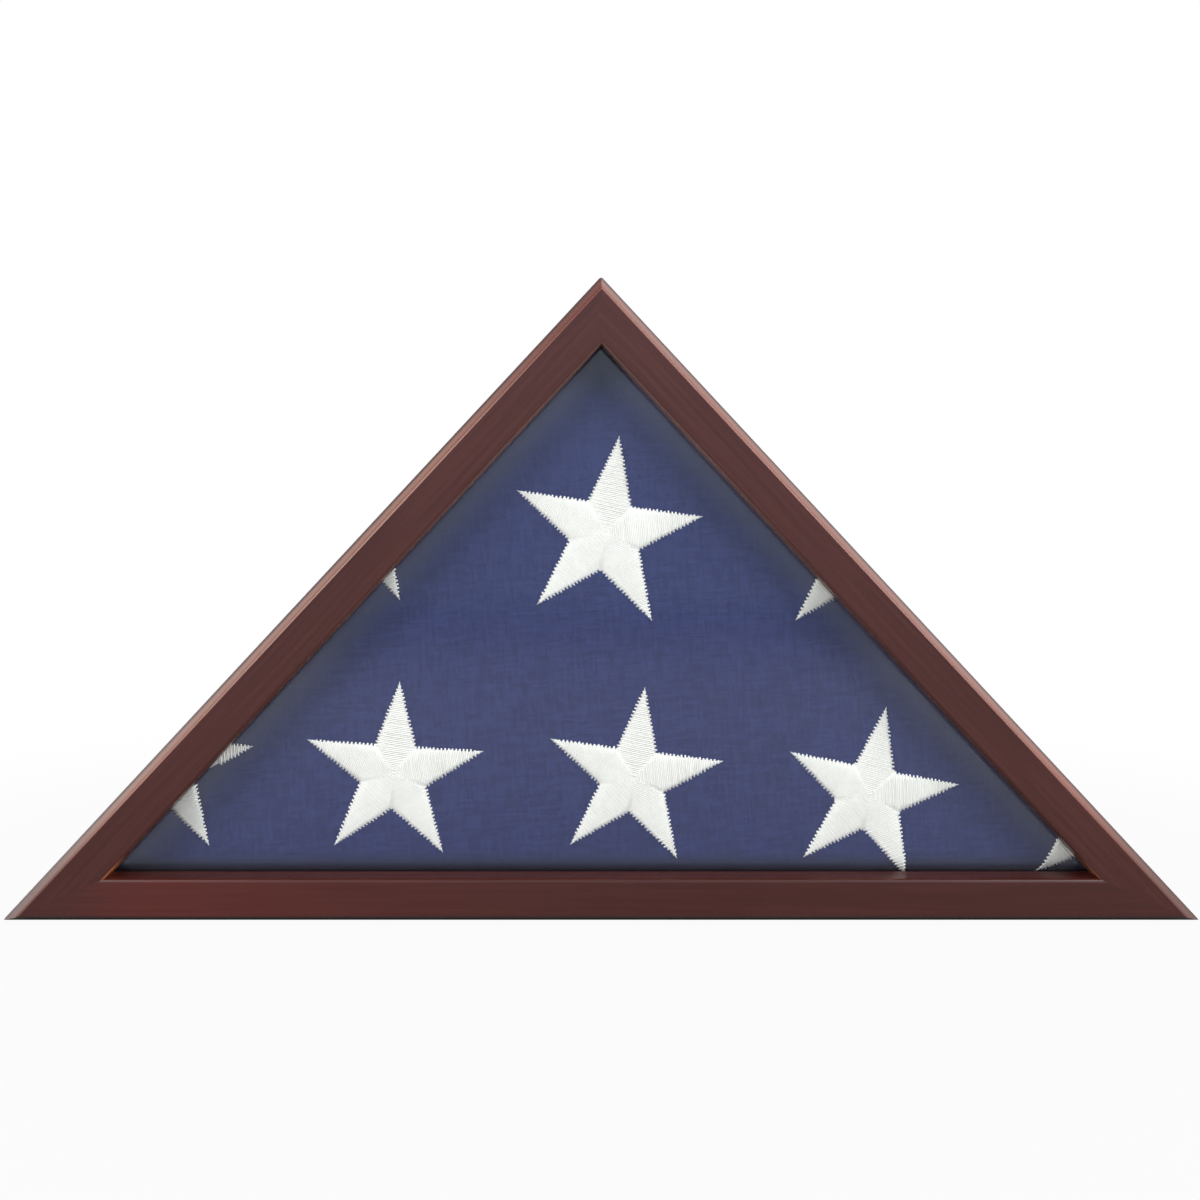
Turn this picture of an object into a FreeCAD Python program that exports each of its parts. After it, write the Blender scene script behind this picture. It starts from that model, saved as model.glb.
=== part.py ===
import FreeCAD, Part
import math
import os
import Sketcher

# Folded flag display case: a triangular glazed case of mitred mouldings and walls,
# open at the back behind a panel that six turn buttons hold.
# Millimetres. The base rests on Z = 0, X runs along it, and -Y is the glazed front.

SIZES = {
    # Whole case
    "case_width": 620,
    "base_angle": 47.1,
    "case_depth": 86,
    "tip_ease": 1.3,
    # Front moulding
    "face_width": 20,
    "bevel_width": 4.8,
    "rail_edge": 5,
    "edge_round": 18,
    "quirk_depth": 1.6,
    "quirk_round": 1.3,
    "lip_depth": 15,
    "lip_round": 1.8,
    "rebate_width": 7,
    # Glass and the stops behind it
    "glass_thickness": 3,
    "glass_gap": 0.4,
    "stop_setback": 2.8,
    "stop_depth": 8,
    "stop_bevel": 2.5,
    "brad_radius": 0.6,
    "brad_length": 16,
    "brad_gap": 0.05,
    # Case walls and the splines in their mitres
    "wall_thickness": 16,
    "rear_land": 10,
    "spline_width": 10,
    "spline_thickness": 3,
    "spline_length": 44,
    "spline_setback": 10,
    "spline_gap": 0.1,
    # Back panel
    "panel_thickness": 4,
    "panel_sink": 0.2,
    "panel_gap": 0.5,
    # Turn buttons and their screws
    "button_thickness": 1.2,
    "button_reach": 20,
    "button_pivot_radius": 4.4,
    "button_tip_radius": 3.2,
    "button_play": 0.15,
    "button_gap": 0.1,
    "screw_radius": 1.5,
    "screw_length": 13,
    "screw_gap": 0.05,
    "head_radius": 3.1,
    "head_height": 1.7,
    "slot_width": 0.8,
    "slot_depth": 0.7,
    # Folded flag
    "flag_gap": 0.3,
    "flag_thickness": 49,
    "flag_corner_round": 6,
    "flag_front_round": 3.5,
    "flag_rear_round": 9,
    "flap_thickness": 2.2,
    "flap_margin": 12,
    # Embroidered stars, on the lattice of the flag's star field
    "star_radius": 48.5,
    "star_waist": 18.3,
    "star_edge": 0.25,
    "star_ridge": 0.8,
    "star_turn": 10,
    "star_pitch_across": 95.5,
    "star_pitch_down": 82.5,
    "star_row_angle": -43.2,
    "star_first_x": 17,
    "star_first_z": 72.6,
    "star_least_patch": 5,
}
BUTTONS_PER_SIDE = 2
BRADS_PER_STOP = 3
STAR_POINTS = 5
STAR_ROWS = (-1, 0)
STAR_COLUMNS = range(-3, 4)
# A screw head's outline from its seat to its crown, as shares of its radius and height
HEAD_OUTLINE = ((1, 0), (1, 0.33), (0.7, 0.85), (0.35, 1), (0, 1))
# The most of a stop's width that its bevel may take
STOP_BEVEL_SHARE = 0.4
# How near an edge has to lie to a level to count as being there
CLOSE = 1e-4
STAR_TOLERANCE = 1e-6

doc = FreeCAD.newDocument("flag_case")
sheet = doc.addObject("Spreadsheet::Sheet", "Sizes")
for row, (alias, number) in enumerate(SIZES.items(), start=1):
    sheet.set(f"A{row}", alias.replace("_", " "))
    sheet.set(f"B{row}", str(number))
    sheet.setAlias(f"B{row}", alias)
doc.recompute()

# Sizes that follow from the sheet, as expressions on its cells
RAIL_WIDTH = "(Sizes.bevel_width + Sizes.face_width)"
RAIL_DEPTH = "(Sizes.lip_depth + Sizes.glass_thickness)"
STOP_INNER = f"({RAIL_WIDTH} - Sizes.stop_setback)"
STOP_REAR = f"({RAIL_DEPTH} + Sizes.stop_depth)"
BRAD_DEPTH = f"({RAIL_DEPTH} + Sizes.stop_depth / 2)"
STOP_BEVEL = f"min(Sizes.stop_bevel; ({STOP_INNER} - Sizes.wall_thickness) * {STOP_BEVEL_SHARE})"
SEAT_DEPTH = "(Sizes.case_depth - Sizes.panel_thickness - Sizes.panel_sink)"
PIVOT_INSET = "(Sizes.rear_land / 2)"
FLAG_FRONT = f"({RAIL_DEPTH} + Sizes.flag_gap + Sizes.star_ridge)"
FLAG_SHOULDER = f"({STOP_REAR} + Sizes.flag_gap)"
FLAG_REAR = f"({FLAG_FRONT} + Sizes.flag_thickness)"
FLAG_FRONT_INSET = f"({STOP_INNER} + Sizes.flag_gap)"
FLAG_BODY_INSET = "(Sizes.wall_thickness + Sizes.flag_gap)"
HEAD_SEAT = "(Sizes.button_thickness + Sizes.button_play)"
MID_DEPTH = f"((Sizes.case_depth + {HEAD_SEAT} + Sizes.head_height) / 2)"
RISE = "(Sizes.case_width / 2 * tan(Sizes.base_angle))"
SLOPE = "(Sizes.case_width / 2 / cos(Sizes.base_angle))"
BASE_MITRE = "(Sizes.base_angle / 2)"
APEX_MITRE = "(90 - Sizes.base_angle)"
OVERRUN = "5"

# The three sides, going round from the lower left tip. In a side's own frame x runs along it
# from its first tip, y goes to the rear from the case's front and z goes inwards.
SIDES = {
    "bottom": {"x": "-Sizes.case_width / 2", "z": "0", "turn": "0", "length": "Sizes.case_width",
               "first": BASE_MITRE, "last": BASE_MITRE},
    "right": {"x": "Sizes.case_width / 2", "z": "0", "turn": "(180 + Sizes.base_angle)", "length": SLOPE,
              "first": BASE_MITRE, "last": APEX_MITRE},
    "left": {"x": "0", "z": RISE, "turn": "(180 - Sizes.base_angle)", "length": SLOPE,
             "first": APEX_MITRE, "last": BASE_MITRE},
}


def measure(expression):
    """The value of an expression on the sheet's cells."""
    return float(sheet.evalExpression(expression))


def placement(x, depth, z, turn):
    """A placement expression: depth is measured from the case's front, turn is about Y."""
    return f"placement(vector({x}; {depth} - {MID_DEPTH}; {z}); rotation(vector(0; 1; 0); {turn}))"


def on_side(side, along="0", inset="0", depth="0"):
    """A placement expression for a point of a side's own frame, turned as the side is."""
    start = SIDES[side]
    turn = start["turn"]
    x = f"{start['x']} + ({along}) * cos({turn}) + ({inset}) * sin({turn})"
    z = f"{start['z']} - ({along}) * sin({turn}) + ({inset}) * cos({turn})"
    return placement(x, depth, z, turn)


def spaced(side, count):
    """Even places along a side for a row of fasteners."""
    return [f"({SIDES[side]['length']}) * {place} / {count + 1}" for place in range(1, count + 1)]


def inset_triangle(inset):
    """The corners of the case's outline drawn in by an inset: left, right, apex."""
    corner = f"(Sizes.case_width / 2 - ({inset}) / tan({BASE_MITRE}))"
    apex = f"({RISE} - ({inset}) / cos(Sizes.base_angle))"
    return [(f"-{corner}", inset), (corner, inset), ("0", apex)]


def new_body(node, place):
    body = doc.addObject("PartDesign::Body", node)
    body.Label = node
    body.setExpression("Placement", place)
    return body


def new_sketch(body, name, role, offset="0"):
    """A sketch on one of the body's own origin planes, moved along the plane's normal."""
    plane = next(item for item in body.Origin.OriginFeatures if item.Role == role)
    sketch = body.newObject("Sketcher::SketchObject", f"{body.Name}_{name}")
    sketch.AttachmentSupport = [(plane, "")]
    sketch.MapMode = "FlatFace"
    sketch.setExpression("AttachmentOffset.Base.z", offset)
    return sketch


def new_feature(body, kind, name, sketch, length, reverse=False):
    feature = body.newObject(f"PartDesign::{kind}", f"{body.Name}_{name}")
    feature.Profile = sketch
    feature.setExpression("Length", length)
    feature.Reversed = reverse
    doc.recompute()
    return feature


def pin_point(sketch, geometry, position, x, y):
    """Ties a sketch point to two expressions."""
    for kind, expression in (("DistanceX", x), ("DistanceY", y)):
        value = measure(expression)
        index = sketch.addConstraint(Sketcher.Constraint(kind, -1, 1, geometry, position, value))
        sketch.setExpression(f"Constraints[{index}]", expression)


def draw_polygon(sketch, corners):
    """A closed polygon whose corners are pairs of expressions."""
    points = [FreeCAD.Vector(measure(x), measure(y), 0) for x, y in corners]
    first = sketch.GeometryCount
    count = len(points)
    for index, point in enumerate(points):
        sketch.addGeometry(Part.LineSegment(point, points[(index + 1) % count]), False)
    for index, (x, y) in enumerate(corners):
        following = first + (index + 1) % count
        sketch.addConstraint(Sketcher.Constraint("Coincident", first + index, 2, following, 1))
        pin_point(sketch, first + index, 1, x, y)


def draw_circle(sketch, x, y, radius):
    middle = FreeCAD.Vector(measure(x), measure(y), 0)
    circle = sketch.addGeometry(Part.Circle(middle, FreeCAD.Vector(0, 0, 1), measure(radius)), False)
    index = sketch.addConstraint(Sketcher.Constraint("Radius", circle, measure(radius)))
    sketch.setExpression(f"Constraints[{index}]", radius)
    pin_point(sketch, circle, 3, x, y)


def cut(body, name, sketch, length, reverse=False):
    """A pocket that has to take material away."""
    before = body.Shape.Volume
    pocket = new_feature(body, "Pocket", name, sketch, length, reverse)
    if not body.Shape.Volume < before:
        raise RuntimeError(f"{pocket.Label} cuts nothing")
    return pocket


def round_edges(body, name, base, radius, chosen):
    """A fillet on the edges of the base feature that the test picks."""
    names = [f"Edge{index}" for index, edge in enumerate(base.Shape.Edges, start=1) if chosen(edge)]
    if not names:
        raise RuntimeError(f"{body.Label} has no edge to round for {name}")
    fillet = body.newObject("PartDesign::Fillet", f"{body.Name}_{name}")
    fillet.Base = (base, names)
    fillet.setExpression("Radius", radius)
    doc.recompute()
    return fillet


def lies_at(y, z):
    """A test for edges that run along a side's x at a given depth and inset."""
    def chosen(edge):
        box = edge.BoundBox
        at_depth = abs(box.YMin - y) < CLOSE and box.YLength < CLOSE
        at_inset = abs(box.ZMin - z) < CLOSE and box.ZLength < CLOSE
        return at_depth and at_inset
    return chosen


def mitre_waste(side, reach, at_end):
    """The offcut at one end of a bar: beyond the mitre line, and the tip that is sanded flat."""
    frame = SIDES[side]
    angle = frame["last"] if at_end else frame["first"]
    far = f"({reach} + {OVERRUN})"
    corners = [
        (f"-{OVERRUN}", f"-{OVERRUN}"),
        (f"Sizes.tip_ease / cos({angle}) + {OVERRUN} * tan({angle})", f"-{OVERRUN}"),
        (f"Sizes.tip_ease * cos({angle})", f"Sizes.tip_ease * sin({angle})"),
        (f"{far} / tan({angle})", far),
        (f"-{OVERRUN}", far),
    ]
    if at_end:
        corners = [(f"{frame['length']} - ({x})", y) for x, y in reversed(corners)]
    return corners


def mitred_bar(node, side, profile, reach, rounds=()):
    """A bar of one section along a side, rounded on its long edges and mitred at both ends."""
    body = new_body(node, on_side(side))
    section = new_sketch(body, "section", "YZ_Plane")
    draw_polygon(section, profile)
    base = new_feature(body, "Pad", "length", section, SIDES[side]["length"])
    for name, radius, y, z in rounds:
        base = round_edges(body, name, base, radius, lies_at(measure(y), measure(z)))
    waste = new_sketch(body, "mitre", "XZ_Plane", OVERRUN)
    draw_polygon(waste, mitre_waste(side, reach, False))
    draw_polygon(waste, mitre_waste(side, reach, True))
    cut(body, "mitres", waste, f"Sizes.case_depth + 2 * {OVERRUN}")
    return body


def front_rail(side):
    """A moulding: eased and canted outer edge, quirk, flat face, and a lip with the glass rebate."""
    bevel_depth = f"({RAIL_DEPTH} - Sizes.rail_edge)"
    rebate_inset = f"({RAIL_WIDTH} - Sizes.rebate_width)"
    profile = [
        ("0", "Sizes.bevel_width"),
        ("Sizes.quirk_depth", "Sizes.bevel_width"),
        (bevel_depth, "0"),
        (RAIL_DEPTH, "0"),
        (RAIL_DEPTH, rebate_inset),
        ("Sizes.lip_depth", rebate_inset),
        ("Sizes.lip_depth", RAIL_WIDTH),
        ("0", RAIL_WIDTH),
    ]
    rounds = [
        ("edge_round", "Sizes.edge_round", bevel_depth, "0"),
        ("quirk_round", "Sizes.quirk_round", "0", "Sizes.bevel_width"),
        ("lip_round", "Sizes.lip_round", "0", RAIL_WIDTH),
    ]
    return mitred_bar(f"{side}_rail", side, profile, RAIL_WIDTH, rounds)


def brad_holes(body, side):
    """Holes for the stop's brads, bored outwards from the stop's inner face."""
    sketch = new_sketch(body, "brad_holes", "XY_Plane", STOP_INNER)
    for along in spaced(side, BRADS_PER_STOP):
        draw_circle(sketch, along, BRAD_DEPTH, "Sizes.brad_radius + Sizes.brad_gap")
    cut(body, "brad_bores", sketch, "Sizes.brad_length + Sizes.brad_gap")


def spline_middle(angle):
    """How far a spline's middle lies from the sharp tip, along the corner's bisector."""
    return f"(Sizes.wall_thickness / 2 / sin({angle}))"


def spline_slot(side, at_end):
    """The slot that takes a spline, square to the mitre, in a side's own frame."""
    frame = SIDES[side]
    angle = frame["last"] if at_end else frame["first"]
    middle = spline_middle(angle)
    half_width = "(Sizes.spline_width / 2 + Sizes.spline_gap)"
    half_thick = "(Sizes.spline_thickness / 2 + Sizes.spline_gap)"
    corners = []
    for thick, wide in (("-", "-"), ("+", "-"), ("+", "+"), ("-", "+")):
        out = f"({middle} {thick} {half_thick})"
        x = f"{out} * cos({angle}) {wide} {half_width} * sin({angle})"
        flip = "-" if wide == "+" else "+"
        corners.append((x, f"{out} * sin({angle}) {flip} {half_width} * cos({angle})"))
    if at_end:
        corners = [(f"{frame['length']} - ({x})", y) for x, y in reversed(corners)]
    return corners


def case_wall(node, side):
    """A wall: rebated for the back panel, slotted for the splines, bored for brads and pivot screws."""
    profile = [
        (RAIL_DEPTH, "0"),
        ("Sizes.case_depth", "0"),
        ("Sizes.case_depth", "Sizes.rear_land"),
        (SEAT_DEPTH, "Sizes.rear_land"),
        (SEAT_DEPTH, "Sizes.wall_thickness"),
        (RAIL_DEPTH, "Sizes.wall_thickness"),
    ]
    body = mitred_bar(node, side, profile, "Sizes.wall_thickness")
    slots = new_sketch(body, "slots", "XZ_Plane", f"-({RAIL_DEPTH} + Sizes.spline_setback)")
    draw_polygon(slots, spline_slot(side, False))
    draw_polygon(slots, spline_slot(side, True))
    cut(body, "spline_slots", slots, "Sizes.spline_length + Sizes.spline_gap")
    brad_holes(body, side)
    pilots = new_sketch(body, "pilots", "XZ_Plane", "-Sizes.case_depth")
    for along in spaced(side, BUTTONS_PER_SIDE):
        draw_circle(pilots, along, PIVOT_INSET, "Sizes.screw_radius + Sizes.screw_gap")
    cut(body, "pilot_bores", pilots, "Sizes.screw_length + Sizes.screw_gap", True)
    return body


def glass_stop(side):
    """A strip behind the glass edge, bevelled towards the flag."""
    profile = [
        (RAIL_DEPTH, "Sizes.wall_thickness"),
        (STOP_REAR, "Sizes.wall_thickness"),
        (STOP_REAR, f"{STOP_INNER} - {STOP_BEVEL}"),
        (f"{STOP_REAR} - {STOP_BEVEL}", STOP_INNER),
        (RAIL_DEPTH, STOP_INNER),
    ]
    body = mitred_bar(f"{side}_glass_stop", side, profile, STOP_INNER)
    brad_holes(body, side)
    return body


def spline(node, x, z, turn, angle):
    """A loose tongue across a mitre, stopped short of both edges."""
    body = new_body(node, placement(x, f"({RAIL_DEPTH} + Sizes.spline_setback)", z, turn))
    section = new_sketch(body, "section", "XZ_Plane")
    near = f"{spline_middle(angle)} - Sizes.spline_thickness / 2"
    far = f"{spline_middle(angle)} + Sizes.spline_thickness / 2"
    half = "Sizes.spline_width / 2"
    draw_polygon(section, [(near, f"-{half}"), (far, f"-{half}"), (far, half), (near, half)])
    new_feature(body, "Pad", "length", section, "Sizes.spline_length", True)
    return body


def triangle_plate(node, inset, depth, thickness):
    """A flat triangular sheet with the case's outline drawn in."""
    body = new_body(node, placement("0", "0", "0", "0"))
    outline = new_sketch(body, "outline", "XZ_Plane", f"-({depth})")
    draw_polygon(outline, inset_triangle(inset))
    new_feature(body, "Pad", "sheet", outline, thickness, True)
    return body


def folded_flag():
    """The folded bundle: pressed forward between the stops, full behind them, its last flap on the rear."""
    body = new_body("folded_flag", placement("0", "0", "0", "0"))
    full = new_sketch(body, "full", "XZ_Plane", f"-{FLAG_SHOULDER}")
    draw_polygon(full, inset_triangle(FLAG_BODY_INSET))
    base = new_feature(body, "Pad", "bundle", full, f"{FLAG_REAR} - {FLAG_SHOULDER}", True)
    base = round_edges(body, "corner_rounds", base, "Sizes.flag_corner_round",
                       lambda edge: edge.BoundBox.YLength > CLOSE)
    rear = measure(FLAG_REAR)
    base = round_edges(body, "rear_round", base, "Sizes.flag_rear_round",
                       lambda edge: edge.BoundBox.YMin > rear - CLOSE)
    pressed = new_sketch(body, "pressed", "XZ_Plane", f"-{FLAG_FRONT}")
    draw_polygon(pressed, inset_triangle(FLAG_FRONT_INSET))
    base = new_feature(body, "Pad", "front", pressed, f"{FLAG_SHOULDER} - {FLAG_FRONT}", True)
    front = measure(FLAG_FRONT)
    base = round_edges(body, "front_round", base, "Sizes.flag_front_round",
                       lambda edge: abs(edge.BoundBox.YMax - front) < CLOSE)
    flap_inset = f"({FLAG_BODY_INSET} + Sizes.flag_rear_round + Sizes.flap_margin)"
    left, _, apex = inset_triangle(flap_inset)
    flap = new_sketch(body, "flap", "XZ_Plane", f"-{FLAG_REAR}")
    draw_polygon(flap, [left, ("0", flap_inset), apex])
    new_feature(body, "Pad", "last_flap", flap, "Sizes.flap_thickness", True)
    return body


def star_solid(x, z):
    """A satin-stitched star: ten facets that rise from the edge to ridges along its arms."""
    turn = measure("Sizes.star_turn")
    seat = measure(f"{FLAG_FRONT} - {MID_DEPTH}")
    edge = seat - measure("Sizes.star_edge")
    spoke = FreeCAD.Vector(1, 0, 0)
    rim = []
    for corner in range(2 * STAR_POINTS):
        reach = measure("Sizes.star_waist" if corner % 2 else "Sizes.star_radius")
        arm = FreeCAD.Rotation(FreeCAD.Vector(0, -1, 0), turn + corner * 180 / STAR_POINTS)
        rim.append(arm.multVec(spoke) * reach + FreeCAD.Vector(x, 0, z))
    low = [point + FreeCAD.Vector(0, seat, 0) for point in rim]
    high = [point + FreeCAD.Vector(0, edge, 0) for point in rim]
    crown = FreeCAD.Vector(x, seat - measure("Sizes.star_ridge"), z)
    faces = [Part.Face(Part.makePolygon(low + low[:1]))]
    for index in range(len(rim)):
        after = (index + 1) % len(rim)
        wall = [low[index], low[after], high[after], high[index], low[index]]
        facet = [high[index], high[after], crown, high[index]]
        faces += [Part.Face(Part.makePolygon(wall)), Part.Face(Part.makePolygon(facet))]
    solid = Part.makeSolid(Part.makeShell(faces))
    solid.fixTolerance(STAR_TOLERANCE)
    return solid if solid.Volume > 0 else solid.reversed()


def embroidered_stars():
    """The stars of the field that show on the flag's flat front, trimmed to it."""
    outline = inset_triangle(f"{FLAG_FRONT_INSET} + Sizes.flag_front_round")
    front = measure(f"{FLAG_FRONT} - {MID_DEPTH}")
    relief = measure("Sizes.star_ridge")
    corners = [FreeCAD.Vector(measure(x), front - relief, measure(z)) for x, z in outline]
    field = Part.Face(Part.makePolygon(corners + corners[:1])).extrude(FreeCAD.Vector(0, relief, 0))
    lean = FreeCAD.Rotation(FreeCAD.Vector(0, -1, 0), measure("Sizes.star_row_angle"))
    across = measure("Sizes.star_pitch_across")
    down = measure("Sizes.star_pitch_down")
    along_row = lean.multVec(FreeCAD.Vector(across, 0, down))
    next_row = lean.multVec(FreeCAD.Vector(across, 0, -down))
    first = FreeCAD.Vector(measure("Sizes.star_first_x"), 0, measure("Sizes.star_first_z"))
    least = measure("Sizes.star_least_patch")
    solids = []
    for row in STAR_ROWS:
        for column in STAR_COLUMNS:
            middle = first + along_row * column + next_row * row
            star = star_solid(middle.x, middle.z).common(field)
            solids += [piece for piece in star.Solids if piece.Volume > least]
    stars = doc.addObject("Part::Feature", "embroidered_stars")
    stars.Label = "embroidered_stars"
    stars.Shape = Part.makeCompound(solids)
    return stars


def turn_button(node, side, along):
    """A tapered flat button, stored turned along its side, clear of the panel."""
    body = new_body(node, on_side(side, along, PIVOT_INSET, "Sizes.case_depth"))
    outline = new_sketch(body, "outline", "XZ_Plane")
    reach = measure("Sizes.button_reach")
    wide = measure("Sizes.button_pivot_radius")
    narrow = measure("Sizes.button_tip_radius")
    up = FreeCAD.Vector(0, 0, 1)
    quarter = math.pi / 2
    pivot_arc = Part.ArcOfCircle(Part.Circle(FreeCAD.Vector(0, 0, 0), up, wide), quarter, 3 * quarter)
    tip_arc = Part.ArcOfCircle(Part.Circle(FreeCAD.Vector(reach, 0, 0), up, narrow), -quarter, quarter)
    outline.addGeometry(pivot_arc, False)
    lower = Part.LineSegment(FreeCAD.Vector(0, -wide, 0), FreeCAD.Vector(reach, -narrow, 0))
    outline.addGeometry(lower, False)
    outline.addGeometry(tip_arc, False)
    outline.addGeometry(Part.LineSegment(FreeCAD.Vector(reach, narrow, 0), FreeCAD.Vector(0, wide, 0)), False)
    joints = ((0, 2, 1, 1), (1, 2, 2, 1), (2, 2, 3, 1), (3, 2, 0, 1))
    for first, first_end, second, second_end in joints:
        outline.addConstraint(Sketcher.Constraint("Tangent", first, first_end, second, second_end))
    pin_point(outline, 0, 3, "0", "0")
    pin_point(outline, 2, 3, "Sizes.button_reach", "0")
    for arc, radius in ((0, "Sizes.button_pivot_radius"), (2, "Sizes.button_tip_radius")):
        index = outline.addConstraint(Sketcher.Constraint("Radius", arc, measure(radius)))
        outline.setExpression(f"Constraints[{index}]", radius)
    new_feature(body, "Pad", "plate", outline, "Sizes.button_thickness", True)
    bore = new_sketch(body, "bore", "XZ_Plane")
    draw_circle(bore, "0", "0", "Sizes.screw_radius + Sizes.button_gap")
    cut(body, "pivot_bore", bore, "Sizes.button_thickness")
    return body


def pivot_screw(name, side, along):
    """A slotted round-head screw through a turn button into the wall."""
    body = new_body(name, on_side(side, along, PIVOT_INSET, "Sizes.case_depth"))
    section = new_sketch(body, "section", "XY_Plane")
    crown = f"{HEAD_SEAT} + Sizes.head_height"
    profile = [
        ("0", "-Sizes.screw_length"),
        ("Sizes.screw_radius", "-Sizes.screw_length + 2 * Sizes.screw_radius"),
        ("Sizes.screw_radius", HEAD_SEAT),
    ]
    for out, up in HEAD_OUTLINE:
        profile.append((f"Sizes.head_radius * {out}", f"{HEAD_SEAT} + Sizes.head_height * {up}"))
    draw_polygon(section, profile)
    turned = body.newObject("PartDesign::Revolution", f"{name}_turned")
    turned.Profile = section
    turned.ReferenceAxis = (section, ["V_Axis"])
    turned.Angle = 360
    doc.recompute()
    slot = new_sketch(body, "slot", "XZ_Plane", f"-({crown})")
    half = "Sizes.slot_width / 2"
    end = "Sizes.head_radius"
    draw_polygon(slot, [(f"-{end}", f"-{half}"), (end, f"-{half}"), (end, half), (f"-{end}", half)])
    cut(body, "driver_slot", slot, "Sizes.slot_depth", True)
    return body


def group(node, members):
    """Separate solids that share one node."""
    compound = doc.addObject("Part::Compound", node)
    compound.Label = node
    compound.Links = members
    return compound


def stop_brads():
    brads = []
    for side in SIDES:
        for place, along in enumerate(spaced(side, BRADS_PER_STOP), start=1):
            brad = doc.addObject("Part::Cylinder", f"{side}_brad_{place}")
            brad.setExpression("Radius", "Sizes.brad_radius")
            brad.setExpression("Height", "Sizes.brad_length")
            inset = f"{STOP_INNER} - Sizes.brad_length"
            brad.setExpression("Placement", on_side(side, along, inset, BRAD_DEPTH))
            brads.append(brad)
    return group("stop_brads", brads)


nodes = [front_rail(side) for side in SIDES]
nodes += [case_wall("base_board", "bottom"), case_wall("right_wall", "right"), case_wall("left_wall", "left")]
nodes += [
    spline("left_spline", "-Sizes.case_width / 2", "0", f"-{BASE_MITRE}", BASE_MITRE),
    spline("right_spline", "Sizes.case_width / 2", "0", f"(180 + {BASE_MITRE})", BASE_MITRE),
    spline("apex_spline", "0", RISE, "90", APEX_MITRE),
]
pane_inset = f"({RAIL_WIDTH} - Sizes.rebate_width + Sizes.glass_gap)"
nodes.append(triangle_plate("glass_pane", pane_inset, "Sizes.lip_depth", "Sizes.glass_thickness"))
nodes += [glass_stop(side) for side in SIDES]
nodes.append(stop_brads())
panel_inset = "(Sizes.rear_land + Sizes.panel_gap)"
nodes.append(triangle_plate("back_panel", panel_inset, SEAT_DEPTH, "Sizes.panel_thickness"))
screws = []
for side in SIDES:
    for place, along in enumerate(spaced(side, BUTTONS_PER_SIDE), start=1):
        nodes.append(turn_button(f"{side}_turn_button_{place}", side, along))
        screws.append(pivot_screw(f"{side}_screw_{place}", side, along))
nodes.append(group("turn_button_screws", screws))
nodes.append(folded_flag())
nodes.append(embroidered_stars())
doc.recompute()

for item in doc.Objects:
    if "Invalid" in item.State or "Error" in item.State:
        raise RuntimeError(f"{item.Label} did not build")
for node in nodes:
    if node.Shape.isNull() or not node.Shape.isValid():
        raise RuntimeError(f"{node.Label} has no valid shape")
os.makedirs("parts", exist_ok=True)
for node in nodes:
    node.Shape.exportStep(f"parts/{node.Label}.step")
    print(node.Label, len(node.Shape.Solids), round(node.Shape.Volume, 1))
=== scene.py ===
import math
import random

import bpy
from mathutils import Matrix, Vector, noise


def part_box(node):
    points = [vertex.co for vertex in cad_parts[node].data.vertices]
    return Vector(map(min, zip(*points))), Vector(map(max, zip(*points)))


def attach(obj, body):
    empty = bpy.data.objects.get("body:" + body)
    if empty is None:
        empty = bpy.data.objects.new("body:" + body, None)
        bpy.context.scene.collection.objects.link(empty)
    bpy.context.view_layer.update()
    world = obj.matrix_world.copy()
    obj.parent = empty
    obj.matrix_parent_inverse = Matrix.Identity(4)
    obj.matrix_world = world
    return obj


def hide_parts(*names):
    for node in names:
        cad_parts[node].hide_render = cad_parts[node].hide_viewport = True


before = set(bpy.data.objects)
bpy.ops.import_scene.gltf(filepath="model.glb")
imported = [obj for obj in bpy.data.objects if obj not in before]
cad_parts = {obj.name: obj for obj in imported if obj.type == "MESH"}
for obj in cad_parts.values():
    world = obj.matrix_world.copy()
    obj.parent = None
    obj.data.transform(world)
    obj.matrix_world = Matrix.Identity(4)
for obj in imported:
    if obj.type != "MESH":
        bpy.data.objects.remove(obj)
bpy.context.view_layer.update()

# Looks of a triangular display case that holds a folded flag. Lengths are in metres.
MM = 0.001
SEED = 7

# Driving sizes of the case that the frame doesn't carry
CASE_HALF = 310 * MM
BASE_ANGLE = math.radians(47.1)
RAIL_WIDTH = 24.8 * MM
SIDE_ANGLES = {"bottom": 0, "left": BASE_ANGLE, "right": -BASE_ANGLE}
INWARD = {
    "bottom": Vector((0, 0, 1)),
    "left": Vector((math.sin(BASE_ANGLE), 0, -math.cos(BASE_ANGLE))),
    "right": Vector((-math.sin(BASE_ANGLE), 0, -math.cos(BASE_ANGLE))),
}
SLOPE_OFFSET = CASE_HALF * math.sin(BASE_ANGLE)
EDGE_OFFSET = {"bottom": 0, "left": SLOPE_OFFSET, "right": SLOPE_OFFSET}


def inset_of(point, side):
    """How far a point lies inside one outer side of the case"""
    return INWARD[side].dot(point) + EDGE_OFFSET[side]


# Camera, as the photograph was taken
PHOTO_SIZE = 1200
CAMERA_PLACE = (-15.4 * MM, -744.5 * MM, 217.5 * MM)
CAMERA_SENSOR = 36
CAMERA_LENS = 41.34
CAMERA_CENTRE_PX = (571.4, 500.0)


def add_camera():
    data = bpy.data.cameras.new("camera")
    data.sensor_width = CAMERA_SENSOR
    data.lens = CAMERA_LENS
    data.shift_x = 0.5 - CAMERA_CENTRE_PX[0] / PHOTO_SIZE
    data.shift_y = CAMERA_CENTRE_PX[1] / PHOTO_SIZE - 0.5
    camera = bpy.data.objects.new("camera", data)
    camera.location = CAMERA_PLACE
    camera.rotation_euler = (math.pi / 2, 0, 0)
    bpy.context.scene.collection.objects.link(camera)
    bpy.context.scene.camera = camera


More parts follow.
